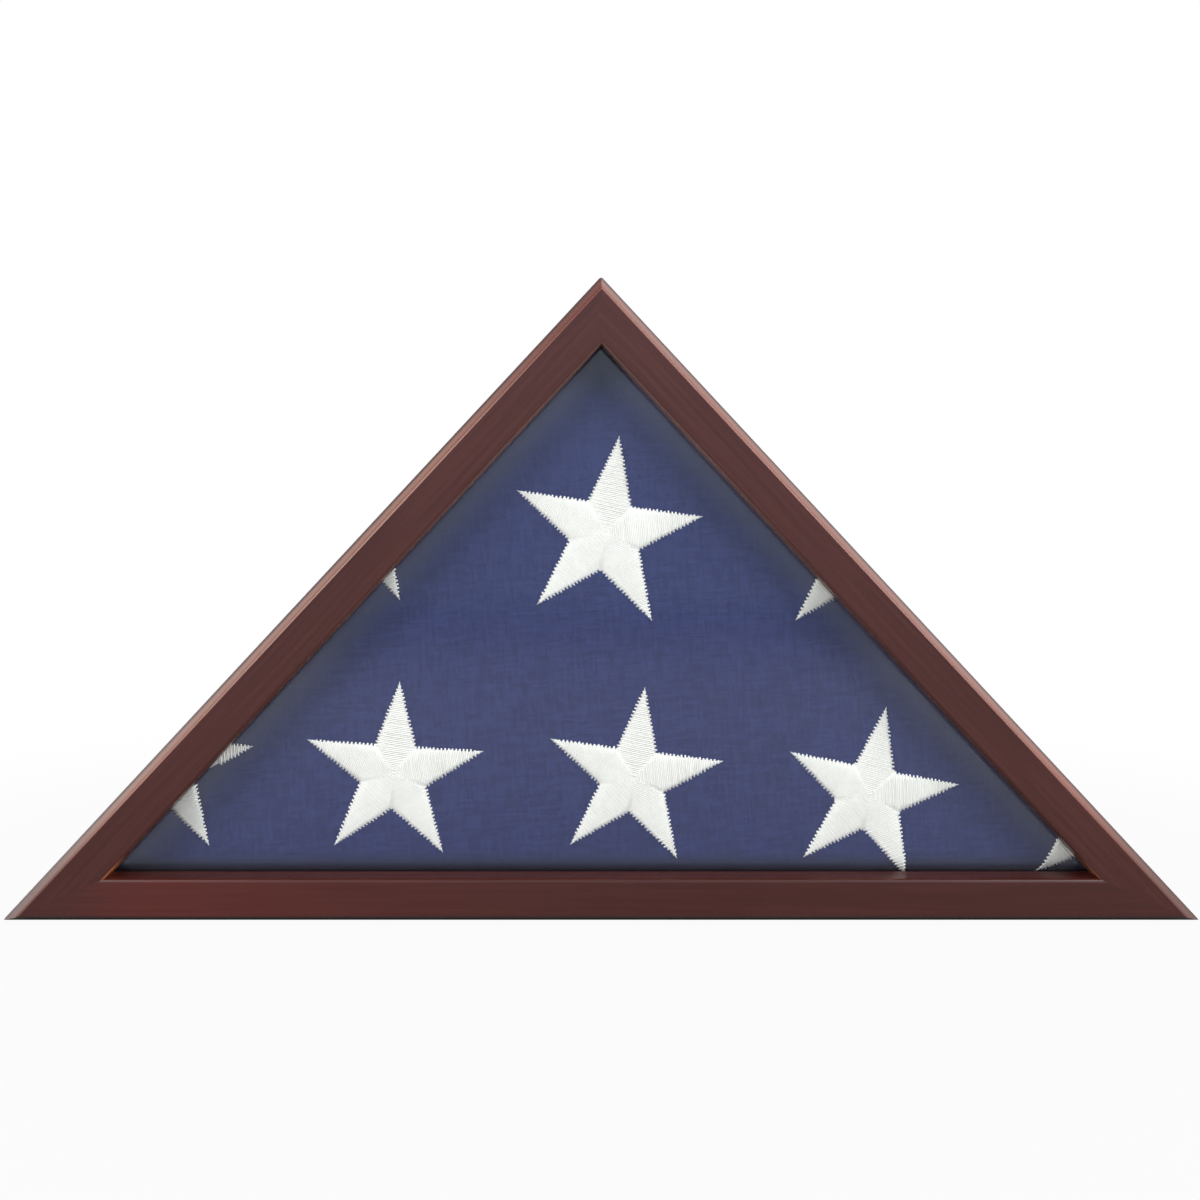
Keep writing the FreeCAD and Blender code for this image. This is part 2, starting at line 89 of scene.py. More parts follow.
# Node helpers
def add_node(tree, kind, settings, inputs):
    """One shader node: settings are its attributes, inputs are values or the sockets that feed it"""
    node = tree.nodes.new("ShaderNode" + kind)
    for name, value in settings.items():
        setattr(node, name, value)
    for key, value in inputs.items():
        socket = node.inputs[key]
        if isinstance(value, bpy.types.NodeSocket):
            tree.links.new(value, socket)
        else:
            socket.default_value = value
    return node


def new_material(name):
    material = bpy.data.materials.new(name)
    material.use_nodes = True
    return material, material.node_tree, material.node_tree.nodes["Principled BSDF"]


def place_of(tree):
    return add_node(tree, "TexCoord", {}, {}).outputs["Object"]


def turned(tree, vector, angle, scale):
    """Coordinates turned about Y and then stretched"""
    turn = add_node(tree, "Mapping", {}, {"Vector": vector, "Rotation": (0, angle, 0)})
    return add_node(tree, "Mapping", {}, {"Vector": turn.outputs[0], "Scale": scale}).outputs[0]


def noise_of(tree, vector, scale, detail, roughness):
    return add_node(tree, "TexNoise", {}, {
        "Vector": vector, "Scale": scale, "Detail": detail, "Roughness": roughness,
    }).outputs["Fac"]


def grain_of(tree, place, angle, stretch, detail, roughness):
    """Noise that is stretched along one direction"""
    return noise_of(tree, turned(tree, place, angle, stretch), 1, detail, roughness)


def math_of(tree, operation, first, second):
    return add_node(tree, "Math", {"operation": operation}, {0: first, 1: second}).outputs[0]


def fade(tree, value, low, high, start, end):
    """Maps value from low..high to start..end with a smooth step"""
    return add_node(tree, "MapRange", {"interpolation_type": "SMOOTHSTEP"}, {
        "Value": value, "From Min": low, "From Max": high, "To Min": start, "To Max": end,
    }).outputs["Result"]


def mix_colour(tree, blend, factor, first, second):
    return add_node(tree, "Mix", {"data_type": "RGBA", "blend_type": blend}, {
        0: factor, 6: first, 7: second,
    }).outputs[2]


def bump_of(tree, height, strength, distance):
    return add_node(tree, "Bump", {}, {
        "Height": height, "Strength": strength, "Distance": distance,
    }).outputs[0]


def inset_node(tree, place, side):
    """How far inside one outer side of the case a place lies"""
    reach = add_node(tree, "VectorMath", {"operation": "DOT_PRODUCT"}, {0: place, 1: INWARD[side]})
    return math_of(tree, "ADD", reach.outputs["Value"], EDGE_OFFSET[side])


def rgb(red, green, blue):
    return (red, green, blue, 1)


# Materials. A grain has its stretch in X, Y and Z, its detail and its roughness.
# A cloud has its scale, detail and roughness.
# A tone, an edge or a reach has the range of a value and what it becomes at both ends of that range.
# A bump has its strength and its distance.

# Stained wood
WOOD_DARK = rgb(0.05, 0.0096, 0.0066)
WOOD_LIGHT = rgb(0.068, 0.0134, 0.0093)
WOOD_FIBRE = ((14, 520, 520), 5, 0.6)
WOOD_PORES = ((75, 1900, 1900), 3, 0.6)
WOOD_CLOUD = ((6, 22, 22), 3, 0.5)
FIBRE_TONE = (0.25, 0.75, 0, 1)
PORE_TONE = (0.54, 0.7, 0, 0.35)
PORE_TINT = rgb(0.5, 0.42, 0.4)
STAIN_TONE = (0.35, 0.7, 0, 0.6)
STAIN_TINT = rgb(0.78, 0.66, 0.62)
WOOD_ROUGHNESS = (0.2, 0.8, 0.34, 0.44)
PORE_RELIEF = 0.5
WOOD_BUMP = (0.1, 0.2 * MM)

# Redder stain towards the left end of the bottom rail, weaker again at its tip
RED_END = rgb(0.115, 0.0125, 0.0075)
RED_REACH = (-0.28, 0, 0.5, 0)
RED_TIP = (-0.28, -0.225, 0, 1)

# Painted highlight on the canted edge of a rail, lighter on the left and right rails and painted shade on the
# bottom rail's, with a painted dark outer arris and a fine painted shade line, less painted highlight at the
# lower corners, and painted shade near the apex on the left and painted light there on the right
BEVEL_PAINTED_LIGHT_AND_SHADE = {
    "bottom": rgb(0.03, 0.02, 0.018),
    "left": rgb(0.36, 0.148, 0.1),
    "right": rgb(0.29, 0.086, 0.052),
}
PAINTED_LIGHT_STREAK = (0.2, 0.8, 0.7, 1)
PAINTED_BEVEL_END = (5.6 * MM, 6.2 * MM, 1, 0)
# Painted shade along the outer arris of the canted edge
PAINTED_ARRIS_SHADE = (1.1 * MM, 2.5 * MM, 0, 1)
# A fine painted shade line across the canted edge
PAINTED_SHADE_LINE_SHARE = 0.62
PAINTED_SHADE_LINE_START = (3.7 * MM, 4.4 * MM, 1, PAINTED_SHADE_LINE_SHARE)
PAINTED_SHADE_LINE_END = (4.7 * MM, 5.3 * MM, PAINTED_SHADE_LINE_SHARE, 1)
# Less painted highlight towards the lower corners; near the apex painted shade on the left bevel and painted
# light on the right
CORNER_HIGHLIGHT_FADE = (8 * MM, 75 * MM, 0.35, 1)
APEX_BEVEL_PAINTED_LIGHT = {"left": rgb(0.2, 0.042, 0.026), "right": rgb(0.29, 0.1, 0.07)}
APEX_PAINT_RISE = (235 * MM, 320 * MM, 0, 1)

# Inner lip of a rail, painted lighter on the left and right rails as if lit, with more painted light at the
# top and a painted orange light at the lower corners, and duller along the bottom
LIP_TONE_AND_PAINTED_LIGHT = {
    "bottom": rgb(0.06, 0.0105, 0.006),
    "left": rgb(0.1, 0.03, 0.015),
    "right": rgb(0.08, 0.024, 0.013),
}
LIP_EDGE = (RAIL_WIDTH - 1.1 * MM, RAIL_WIDTH - 0.2 * MM, 0, 1)
LIP_SPECULAR = (RAIL_WIDTH - 0.5 * MM, RAIL_WIDTH - 0.1 * MM, 0.5, 0.25)
LIP_PAINTED_LIGHT_TOP = rgb(0.2, 0.105, 0.085)
LIP_RISE = (120 * MM, 260 * MM, 0, 1)
CORNER_PAINTED_LIGHT = {"left": rgb(0.6, 0.2, 0.07), "right": rgb(0.3, 0.1, 0.05)}
CORNER_REACH = (27 * MM, 38 * MM, 1, 0)


def stained_wood(name, side, is_rail):
    """Dark red-brown stain under satin lacquer, with its grain along one side of the case"""
    material, tree, shader = new_material(name)
    place = place_of(tree)
    angle = SIDE_ANGLES[side]
    fibre = grain_of(tree, place, angle, *WOOD_FIBRE)
    pores = grain_of(tree, place, angle, *WOOD_PORES)
    cloud = grain_of(tree, place, angle, *WOOD_CLOUD)
    colour = mix_colour(tree, "MIX", fade(tree, fibre, *FIBRE_TONE), WOOD_DARK, WOOD_LIGHT)
    colour = mix_colour(tree, "MULTIPLY", fade(tree, pores, *PORE_TONE), colour, PORE_TINT)
    colour = mix_colour(tree, "MULTIPLY", fade(tree, cloud, *STAIN_TONE), colour, STAIN_TINT)
    if is_rail:
        colour = rail_stain_and_painted_light(tree, place, side, fibre, colour)
    if is_rail and side == "bottom":
        gloss = fade(tree, inset_node(tree, place, side), *LIP_SPECULAR)
        tree.links.new(gloss, shader.inputs["Specular IOR Level"])
    tree.links.new(colour, shader.inputs["Base Color"])
    tree.links.new(fade(tree, fibre, *WOOD_ROUGHNESS), shader.inputs["Roughness"])
    relief = math_of(tree, "ADD", fibre, math_of(tree, "MULTIPLY", pores, PORE_RELIEF))
    tree.links.new(bump_of(tree, relief, *WOOD_BUMP), shader.inputs["Normal"])
    return material


def rail_stain_and_painted_light(tree, place, side, fibre, colour):
    """A rail's colour with painted highlight and shade on its canted edge, and its lip, painted lighter on
    the left and right rails
    """
    inset = inset_node(tree, place, side)
    streak = fade(tree, fibre, *PAINTED_LIGHT_STREAK)
    # Share of painted highlight on the canted edge, cut by a painted dark arris at its outer rim
    wear_and_painted_light = math_of(tree, "MULTIPLY", fade(tree, inset, *PAINTED_BEVEL_END), fade(tree, inset, *PAINTED_ARRIS_SHADE))
    # A fine painted shade line across the canted edge
    line = math_of(tree, "MAXIMUM", fade(tree, inset, *PAINTED_SHADE_LINE_START), fade(tree, inset, *PAINTED_SHADE_LINE_END))
    wear_and_painted_light = math_of(tree, "MULTIPLY", wear_and_painted_light, line)
    bevel_painted_light = BEVEL_PAINTED_LIGHT_AND_SHADE[side]
    lip_colour = LIP_TONE_AND_PAINTED_LIGHT[side]
    if side == "bottom":
        across = add_node(tree, "SeparateXYZ", {}, {0: place}).outputs["X"]
        red = math_of(tree, "MULTIPLY", fade(tree, across, *RED_REACH), fade(tree, across, *RED_TIP))
        colour = mix_colour(tree, "MIX", red, colour, RED_END)
    else:
        above_base = inset_node(tree, place, "bottom")
        # Less painted highlight towards the lower corners
        wear_and_painted_light = math_of(tree, "MULTIPLY", wear_and_painted_light, fade(tree, above_base, *CORNER_HIGHLIGHT_FADE))
        # Painted shade near the apex on the left rail, painted light there on the right
        high = fade(tree, above_base, *APEX_PAINT_RISE)
        bevel_painted_light = mix_colour(tree, "MIX", high, bevel_painted_light, APEX_BEVEL_PAINTED_LIGHT[side])
        # Painted light on the lip, more towards the top
        high = fade(tree, above_base, *LIP_RISE)
        lip_colour = mix_colour(tree, "MIX", high, lip_colour, LIP_PAINTED_LIGHT_TOP)
        # Painted orange light on the lip near the lower corners
        low = fade(tree, above_base, *CORNER_REACH)
        lip_colour = mix_colour(tree, "MIX", low, lip_colour, CORNER_PAINTED_LIGHT[side])
    # Painted highlight and shade on the canted edge, streaked along the grain
    colour = mix_colour(tree, "MIX", math_of(tree, "MULTIPLY", wear_and_painted_light, streak), colour, bevel_painted_light)
    lip = fade(tree, inset, *LIP_EDGE)
    return mix_colour(tree, "MIX", math_of(tree, "MULTIPLY", lip, streak), colour, lip_colour)


GLASS_TINT = rgb(0.985, 1, 0.993)
GLASS_IOR = 1.5


def glass():
    """Clear glass that lets diffuse and shadow rays straight through"""
    material, tree, shader = new_material("clear_glass")
    shader.inputs["Base Color"].default_value = GLASS_TINT
    shader.inputs["Roughness"].default_value = 0
    shader.inputs["IOR"].default_value = GLASS_IOR
    shader.inputs["Transmission Weight"].default_value = 1
    path = add_node(tree, "LightPath", {}, {})
    clear = add_node(tree, "BsdfTransparent", {}, {}).outputs[0]
    output = tree.nodes["Material Output"]
    lit = add_node(tree, "MixShader", {}, {0: path.outputs["Is Diffuse Ray"], 1: shader.outputs[0], 2: clear})
    shade = add_node(tree, "MixShader", {}, {0: path.outputs["Is Shadow Ray"], 1: lit.outputs[0], 2: clear})
    tree.links.new(shade.outputs[0], output.inputs["Surface"])
    return material


# Metals: plating, the colour of its dull patches, and its roughness where it is bright
BUTTON_BRASS = (rgb(0.76, 0.55, 0.24), rgb(0.5, 0.33, 0.13), 0.24)
SCREW_BRASS = (rgb(0.72, 0.53, 0.25), rgb(0.45, 0.3, 0.13), 0.3)
BRIGHT_WIRE = (rgb(0.55, 0.55, 0.54), rgb(0.36, 0.35, 0.33), 0.3)
METAL_PATCHES = (160, 4, 0.6)
METAL_SCRATCHES = ((3000, 3000, 250), 2, 0.5)
SCRATCH_ANGLE = 0.6
PATCH_TONE = (0.45, 0.7, 0, 0.7)
PATCH_RANGE = (0.3, 0.75)
PATCH_DULLING = 0.2
SCRATCH_BUMP = (0.08, 0.05 * MM)


def metal(name, colour, wear_and_painted_light, roughness):
    """Plated metal with fine scratches and a few dull patches"""
    material, tree, shader = new_material(name)
    place = place_of(tree)
    patches = noise_of(tree, place, *METAL_PATCHES)
    scratches = grain_of(tree, place, SCRATCH_ANGLE, *METAL_SCRATCHES)
    tone = mix_colour(tree, "MIX", fade(tree, patches, *PATCH_TONE), colour, wear_and_painted_light)
    tree.links.new(tone, shader.inputs["Base Color"])
    shader.inputs["Metallic"].default_value = 1
    dulled = fade(tree, patches, *PATCH_RANGE, roughness, roughness + PATCH_DULLING)
    tree.links.new(dulled, shader.inputs["Roughness"])
    tree.links.new(bump_of(tree, scratches, *SCRATCH_BUMP), shader.inputs["Normal"])
    return material


BOARD_DARK = rgb(0.11, 0.058, 0.034)
BOARD_LIGHT = rgb(0.19, 0.11, 0.066)
BOARD_FLECK = rgb(0.33, 0.22, 0.14)
BOARD_TINT = rgb(0.75, 0.72, 0.7)
BOARD_FIBRE_ANGLE = 0.4
BOARD_FIBRE = ((900, 900, 160), 5, 0.65)
BOARD_FLECK_ANGLE = -0.7
BOARD_FLECKS = ((1400, 1400, 300), 2, 0.5)
BOARD_CLOUD = (14, 3, 0.5)
BOARD_TONE = (0.3, 0.7, 0, 1)
FLECK_TONE = (0.6, 0.72, 0, 0.5)
BOARD_CLOUD_TONE = (0.3, 0.7, 0, 0.4)
BOARD_ROUGHNESS = (0.2, 0.8, 0.45, 0.62)
BOARD_BUMP = (0.15, 0.2 * MM)


def hardboard():
    """Pressed wood fibre, smooth, with pale flecks and darker clouds"""
    material, tree, shader = new_material("hardboard")
    place = place_of(tree)
    fibre = grain_of(tree, place, BOARD_FIBRE_ANGLE, *BOARD_FIBRE)
    flecks = grain_of(tree, place, BOARD_FLECK_ANGLE, *BOARD_FLECKS)
    cloud = noise_of(tree, place, *BOARD_CLOUD)
    colour = mix_colour(tree, "MIX", fade(tree, fibre, *BOARD_TONE), BOARD_DARK, BOARD_LIGHT)
    colour = mix_colour(tree, "MIX", fade(tree, flecks, *FLECK_TONE), colour, BOARD_FLECK)
    colour = mix_colour(tree, "MULTIPLY", fade(tree, cloud, *BOARD_CLOUD_TONE), colour, BOARD_TINT)
    tree.links.new(colour, shader.inputs["Base Color"])
    tree.links.new(fade(tree, fibre, *BOARD_ROUGHNESS), shader.inputs["Roughness"])
    tree.links.new(bump_of(tree, fibre, *BOARD_BUMP), shader.inputs["Normal"])
    return material


PLY_DARK = rgb(0.45, 0.29, 0.15)
PLY_LIGHT = rgb(0.62, 0.44, 0.26)
PLY_GRAIN = ((300, 40, 300), 4, 0.6)
PLY_TONE = (0.3, 0.7, 0, 1)
PLY_ROUGHNESS = (0.3, 0.7, 0.55, 0.7)


def plywood():
    """Bare pale plywood with its grain along Y"""
    material, tree, shader = new_material("plywood")
    grain = grain_of(tree, place_of(tree), 0, *PLY_GRAIN)
    colour = mix_colour(tree, "MIX", fade(tree, grain, *PLY_TONE), PLY_DARK, PLY_LIGHT)
    tree.links.new(colour, shader.inputs["Base Color"])
    tree.links.new(fade(tree, grain, *PLY_ROUGHNESS), shader.inputs["Roughness"])
    return material


FLAG_DARK = rgb(0.0163, 0.0224, 0.087)
FLAG_LIGHT = rgb(0.0262, 0.035, 0.1265)
SLUB_TONE = (0.75, 1.25, 0, 1)
CLOTH_CLOUD = (9, 3, 0.5)
CLOTH_CLOUD_TONE = (0.3, 0.7, 0, 0.3)
CLOTH_TINT = rgb(0.85, 0.85, 0.88)
# Painted reflection and shade: the cloth is painted paler and greyer near the side rails
FLAG_PAINTED_HAZE = rgb(0.064, 0.069, 0.124)
PAINTED_HAZE_EDGE = (22 * MM, 42 * MM, 0.9, 0)
# Painted shade at the foot of the cloth, greyer and less blue near the bottom rail
FLAG_PAINTED_FOOT_SHADE = rgb(0.024, 0.029, 0.063)
PAINTED_FOOT_SHADE_REACH = (25 * MM, 35 * MM, 0.9, 0)
WEAVE_ANGLE = math.radians(5)
WARP_GRAIN = ((900, 900, 110), 3, 0.6)
WEFT_GRAIN = ((110, 900, 900), 3, 0.6)
YARN_PITCH = 0.55 * MM
# A wave texture's scale counts bands of tau / 20 units
WEAVE_SCALE = math.tau / 20 / YARN_PITCH
WEAVE_DISTORTION = 0.6
WEAVE_DETAIL_SCALE = 0.5
WEAVE_RELIEF = 0.6
CLOTH_BUMP = (0.35, 0.12 * MM)
CLOTH_ROUGHNESS = 0.85
CLOTH_SPECULAR = 0.2
CLOTH_SHEEN = 0.06
CLOTH_SHEEN_ROUGHNESS = 0.5


def cotton():
    """Navy plain-woven cotton"""
    material, tree, shader = new_material("navy_cotton")
    place = place_of(tree)
    cloth = turned(tree, place, WEAVE_ANGLE, (1, 1, 1))
    waves = []
    for direction in ("X", "Z"):
        waves.append(add_node(tree, "TexWave", {"bands_direction": direction}, {
            "Vector": cloth, "Scale": WEAVE_SCALE, "Distortion": WEAVE_DISTORTION, "Detail": 1,
            "Detail Scale": WEAVE_DETAIL_SCALE,
        }).outputs["Fac"])
    weave = math_of(tree, "MULTIPLY", waves[0], waves[1])
    warp = grain_of(tree, place, WEAVE_ANGLE, *WARP_GRAIN)
    weft = grain_of(tree, place, WEAVE_ANGLE, *WEFT_GRAIN)
    slub = math_of(tree, "ADD", warp, weft)
    cloud = noise_of(tree, place, *CLOTH_CLOUD)
    colour = mix_colour(tree, "MIX", fade(tree, slub, *SLUB_TONE), FLAG_DARK, FLAG_LIGHT)
    colour = mix_colour(tree, "MULTIPLY", fade(tree, cloud, *CLOTH_CLOUD_TONE), colour, CLOTH_TINT)
    # Painted reflection and shade near the side rails
    inset = math_of(tree, "MINIMUM", inset_node(tree, place, "left"), inset_node(tree, place, "right"))
    colour = mix_colour(tree, "MIX", fade(tree, inset, *PAINTED_HAZE_EDGE), colour, FLAG_PAINTED_HAZE)
    # Painted shade at the foot, near the bottom rail
    above_base = inset_node(tree, place, "bottom")
    colour = mix_colour(tree, "MIX", fade(tree, above_base, *PAINTED_FOOT_SHADE_REACH), colour, FLAG_PAINTED_FOOT_SHADE)
    tree.links.new(colour, shader.inputs["Base Color"])
    shader.inputs["Roughness"].default_value = CLOTH_ROUGHNESS
    shader.inputs["Specular IOR Level"].default_value = CLOTH_SPECULAR
    shader.inputs["Sheen Weight"].default_value = CLOTH_SHEEN
    shader.inputs["Sheen Roughness"].default_value = CLOTH_SHEEN_ROUGHNESS
    relief = math_of(tree, "ADD", slub, math_of(tree, "MULTIPLY", weave, WEAVE_RELIEF))
    tree.links.new(bump_of(tree, relief, *CLOTH_BUMP), shader.inputs["Normal"])
    return material


THREAD_DARK = rgb(0.91, 0.892, 0.838)
THREAD_LIGHT = rgb(0.955, 0.938, 0.888)
THREAD_CLOUD = (420, 3, 0.6)
THREAD_TONE = (0.3, 0.7, 0, 1)
THREAD_ROUGHNESS = (0.3, 0.7, 0.45, 0.6)
THREAD_SHEEN = 0.1


def thread():
    """White embroidery thread"""
    material, tree, shader = new_material("white_thread")
    tone = noise_of(tree, place_of(tree), *THREAD_CLOUD)
    colour = mix_colour(tree, "MIX", fade(tree, tone, *THREAD_TONE), THREAD_DARK, THREAD_LIGHT)
    tree.links.new(colour, shader.inputs["Base Color"])
    tree.links.new(fade(tree, tone, *THREAD_ROUGHNESS), shader.inputs["Roughness"])
    shader.inputs["Sheen Weight"].default_value = THREAD_SHEEN
    return material


def dress(node, material):
    """Gives a frame node a finished material"""
    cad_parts[node].material_slots[0].material = material


def dress_case():
    for side in SIDE_ANGLES:
        dress(f"{side}_rail", stained_wood(f"{side}_rail_wood", side, True))
        plain = stained_wood(f"{side}_wood", side, False)
        dress("base_board" if side == "bottom" else f"{side}_wall", plain)
        dress(f"{side}_glass_stop", plain)
    ply = plywood()
    for place in ("left", "right", "apex"):
        dress(f"{place}_spline", ply)
    brass = metal("worn_brass", *BUTTON_BRASS)
    for side in SIDE_ANGLES:
        for place in (1, 2):
            dress(f"{side}_turn_button_{place}", brass)
    dress("turn_button_screws", metal("screw_brass", *SCREW_BRASS))
    dress("stop_brads", metal("bright_wire", *BRIGHT_WIRE))
    dress("back_panel", hardboard())
    dress("glass_pane", glass())


def new_piece(name, verts, faces, material):
    mesh = bpy.data.meshes.new(name)
    mesh.from_pydata(verts, [], faces)
    mesh.shade_smooth()
    mesh.materials.append(material)
    piece = bpy.data.objects.new(name, mesh)
    bpy.context.scene.collection.objects.link(piece)
    return piece


# Folded flag: its cloth, and the bundle's place in the case
flag_low, flag_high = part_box("folded_flag")
CLOTH = 0.35 * MM
FLAG_FRONT = flag_low.y + CLOTH / 2
FLAP_REAR = flag_high.y - CLOTH / 2
FLAP_DEPTH = 1.6 * MM
BODY_REAR = FLAP_REAR - FLAP_DEPTH
BUNDLE_INSET = 16.9 * MM
CORNER_ROUND = 6 * MM
LEAST_ROUND = 0.3 * MM

# Its layers, the side at which each is folded to the next, and the flap that is tucked in at the rear
LAYERS = 54
FOLD_ORDER = ("bottom", "left", "bottom", "right")
FOLD_BULGE = 0.3 * MM
RIM_JITTER = 1.4 * MM
FLAP_LEVELS = (0.5, 1)
FLAP_INSET = 28.5 * MM
FLAP_LEAN = 1.5 * MM

# Its rounded rims, as width and drop, and the soft waves of its faces
RIM_INSET = 22.3 * MM
SIDE_ROLL = (10 * MM, 3 * MM)
FRONT_ROLL = {"bottom": (11 * MM, 9 * MM), "left": SIDE_ROLL, "right": SIDE_ROLL}
REAR_ROLL = {side: (34 * MM, 9 * MM) for side in INWARD}
CLOTH_WAVE = 0.7 * MM
WAVE_PITCH = 8

# Its mesh: points along a side and in a corner, and the distances between the rings of a layer
FINE = 72
COARSE = 18
PER_CORNER = 3
RIM_STEPS = (0, 2 * MM, 4 * MM)
FIRST_STEP = 0.35 * MM
STEP_GROWTH = 1.19
LONGEST_STEP = 5.5 * MM
STEPS_END = 104 * MM
COARSE_STEPS = (0, 5.4 * MM, 9 * MM, 18 * MM, 60 * MM)
RING_SIDES = ("bottom", "right", "left")


def roll(point, rolls):
    """How far the bundle's face falls back at a point, as a rounded rim along each side"""
    drops = []
    for side, (width, drop) in rolls.items():
        inside = min(max((inset_of(point, side) - RIM_INSET) / width, 0), 1)
        drops.append(drop * (1 - math.sqrt(1 - (1 - inside) ** 2)))
    return max(drops)


def cloth_wave(point):
    place = Vector((point.x * WAVE_PITCH, SEED, point.z * WAVE_PITCH))
    return CLOTH_WAVE * (0.5 + 0.5 * noise.noise(place))


def front_of(point):
    """The y of the flag's front layer"""
    return FLAG_FRONT + roll(point, FRONT_ROLL) + cloth_wave(point)


def rear_of(point):
    """The y of the flag's last layer before the flap"""
    return BODY_REAR - roll(point, REAR_ROLL) - cloth_wave(point)


def crossing(first, first_inset, second, second_inset):
    """Where the inset lines of two sides meet"""
    a, b = INWARD[first], INWARD[second]
    p, q = first_inset - EDGE_OFFSET[first], second_inset - EDGE_OFFSET[second]
    scale = a.x * b.z - a.z * b.x
    return Vector(((p * b.z - q * a.z) / scale, 0, (a.x * q - b.x * p) / scale))


def ring(insets, corner_round, per_side):
    """A closed outline inside the case with rounded corners, from the left end of the bottom side"""
    centres = [
        crossing(a, insets[a] + corner_round, b, insets[b] + corner_round)
        for a, b in (("bottom", "left"), ("bottom", "right"), ("right", "left"))
    ]
    points = []
    for index, side in enumerate(RING_SIDES):
        following = (index + 1) % len(RING_SIDES)
        start, end = centres[index], centres[following]
        outward, next_outward = -INWARD[side], -INWARD[RING_SIDES[following]]
        for step in range(per_side + 1):
            points.append(start.lerp(end, step / per_side) + outward * corner_round)
        for step in range(1, PER_CORNER):
            bent = outward.slerp(next_outward, step / PER_CORNER)
            points.append(end + bent * corner_round)
    return points


def side_indices(side, per_side):
    """Places in a ring of the points along one side"""
    start = RING_SIDES.index(side) * (per_side + PER_CORNER)
    return range(start, start + per_side + 1)


def fine_steps():
    """Ring distances that are dense where the face rolls over at the rim"""
    steps = list(RIM_STEPS)
    distance, step = RIM_INSET - BUNDLE_INSET, FIRST_STEP
    while distance < STEPS_END:
        steps.append(distance)
        distance += step
        step = min(step * STEP_GROWTH, LONGEST_STEP)
    return steps


def add_layer(verts, faces, insets, steps, per_side, y_of):
    """One triangular layer of cloth, as rings closed by a fan. Returns its rim."""
    rings = []
    for step in steps:
        outline = ring(
            {side: inset + step for side, inset in insets.items()},
            max(CORNER_ROUND - step, LEAST_ROUND), per_side,
        )
        rings.append(range(len(verts), len(verts) + len(outline)))
        verts.extend((p.x, y_of(p), p.z) for p in outline)
    count = len(rings[0])
    for outer, inner in zip(rings, rings[1:]):
        for i in range(count):
            j = (i + 1) % count
            faces.append((outer[i], outer[j], inner[j], inner[i]))
    inner = rings[-1]
    middle = sum((Vector(verts[i]) for i in inner), Vector()) / count
    middle.y = y_of(middle)
    verts.append(tuple(middle))
    for i in range(count):
        faces.append((inner[i], inner[(i + 1) % count], len(verts) - 1))
    return rings[0]


def add_fold(verts, faces, first, second, side):
    """A rounded fold that joins the same side of two layers, whose points may differ in number"""
    outward = -INWARD[side]
    few, many = sorted((first, second), key=len)
    ratio = (len(many) - 1) // (len(few) - 1)
    ridge = []
    for place, index in enumerate(few):
        near, far = Vector(verts[index]), Vector(verts[many[place * ratio]])
        ridge.append(len(verts))
        verts.append(tuple((near + far) / 2 + outward * FOLD_BULGE))
    for i in range(len(few) - 1):
        faces.append((few[i], few[i + 1], ridge[i + 1], ridge[i]))
        fan = [many[i * ratio + j] for j in range(ratio + 1)]
        faces.append((ridge[i], ridge[i + 1], *reversed(fan)))


def folded_flag():
    draw = random.Random(SEED)
    verts, faces, rims = [], [], []
    jitter = {side: 0.0 for side in INWARD}
    for layer in range(LAYERS):
        share = layer / (LAYERS - 1)
        outer = layer in (0, LAYERS - 1)
        folded = FOLD_ORDER[layer % len(FOLD_ORDER)]
        insets = {side: BUNDLE_INSET + jitter[side] for side in INWARD}
        jitter = {side: draw.uniform(0, RIM_JITTER) for side in INWARD}
        jitter[folded] = insets[folded] - BUNDLE_INSET
        per_side = FINE if outer else COARSE
        rim = add_layer(
            verts, faces, insets, fine_steps() if outer else COARSE_STEPS, per_side,
            lambda p: front_of(p) + share * (rear_of(p) - front_of(p)),
        )
        rims.append((rim, per_side))
    for level in FLAP_LEVELS:
        insets = {"bottom": BUNDLE_INSET, "left": FLAP_INSET, "right": FLAP_INSET + FLAP_LEAN * level}
        rim = add_layer(
            verts, faces, insets, fine_steps(), FINE,
            lambda p: rear_of(p) + level * FLAP_DEPTH,
        )
        rims.append((rim, FINE))
    for layer, (rim, per_side) in enumerate(rims[:-1]):
        side = FOLD_ORDER[layer % len(FOLD_ORDER)]
        if layer >= LAYERS - 1:
            side = "bottom"
        following, next_per_side = rims[layer + 1]
        first = [rim[i] for i in side_indices(side, per_side)]
        second = [following[i] for i in side_indices(side, next_per_side)]
        add_fold(verts, faces, first, second, side)
    flag = new_piece("flag_cloth", verts, faces, cotton())
    thickness = flag.modifiers.new("cloth", "SOLIDIFY")
    thickness.thickness = CLOTH
    thickness.offset = 0
    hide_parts("folded_flag")
    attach(flag, "case")


# Embroidered stars: middle x and z and reach of the tips in millimetres, turn of the first tip in degrees
STARS = (
    (2.4, 200.0, 51.3, 10.0),
    (-108.1, 74.7, 48.2, 14.2),
    (16.8, 72.6, 47.6, 10.6),
    (139.8, 63.5, 46.9, 7.1),
    (-128.0, 209.7, 50, 9.6),
    (136.3, 190.9, 50, 10),
    (-228.2, 79.2, 48, 12),
    (261.8, 53.9, 47, 7),
)
STAR_TIPS = 5
STAR_WAIST = 0.377
STAR_LIMIT = 18 * MM

